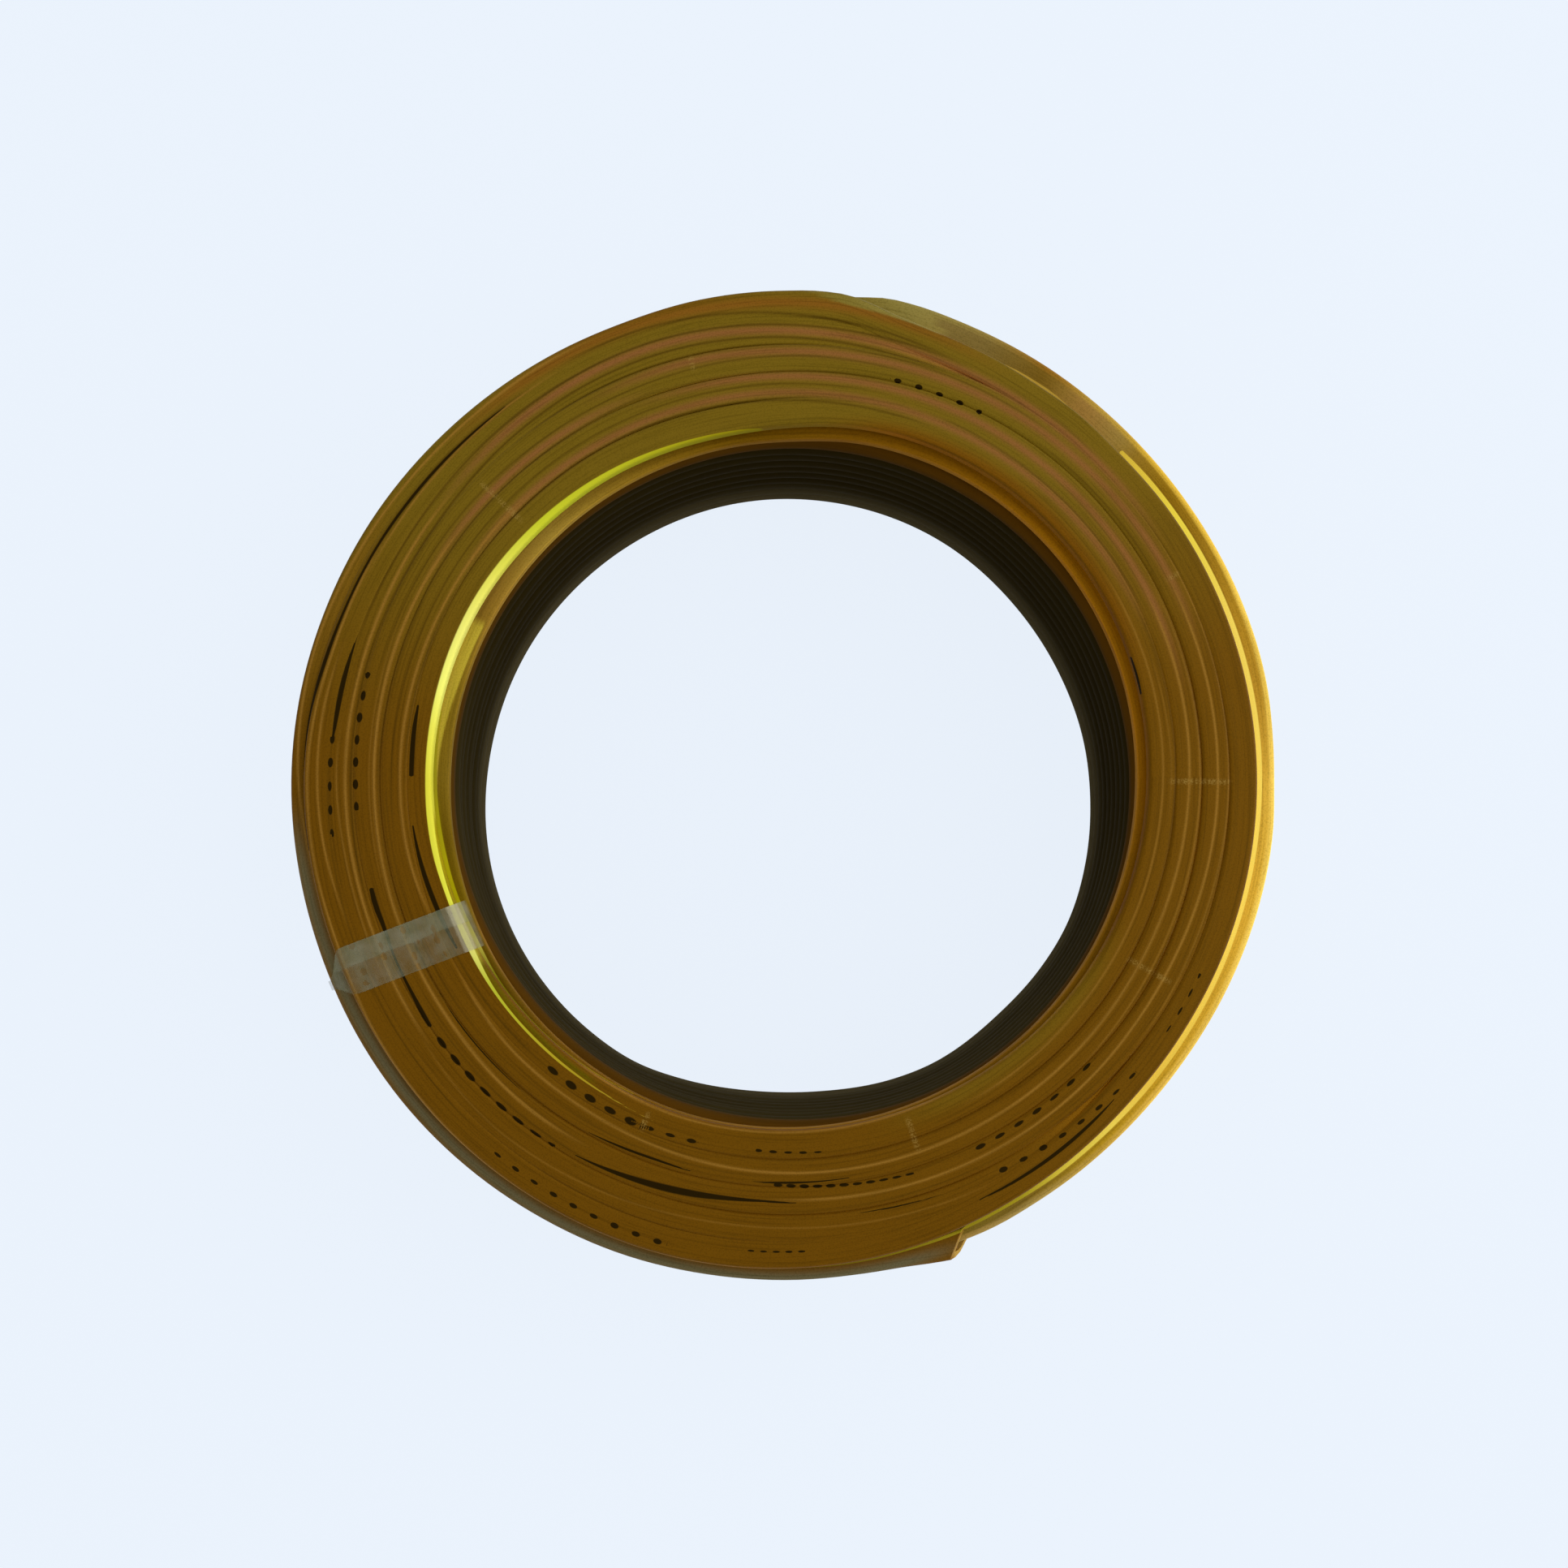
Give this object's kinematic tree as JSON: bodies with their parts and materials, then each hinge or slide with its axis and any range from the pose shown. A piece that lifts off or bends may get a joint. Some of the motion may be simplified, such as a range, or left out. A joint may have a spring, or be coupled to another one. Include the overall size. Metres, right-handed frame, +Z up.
{
  "type": "coil of insulated wire",
  "caption": "Flat ring coil of amber PVC-insulated building wire with an open bore, a free cut end and a band of clear tape, lying on one end.",
  "frame": {"origin": "on the bore's axis, in the plane of the crests that the coil lies on", "axes": "+Z up along the bore's axis; the wire's free end points towards +X, on the -Y side"},
  "size_m": [0.1636, 0.1642, 0.0554],
  "materials": {
    "insulation": "glossy translucent amber PVC over copper strands",
    "clear_tape": "clear adhesive tape, glossy, slightly wrinkled"
  },
  "bodies": {
    "root": {"wire_coil": "insulation", "binding_tape": "clear_tape"}
  },
  "joints": []
}
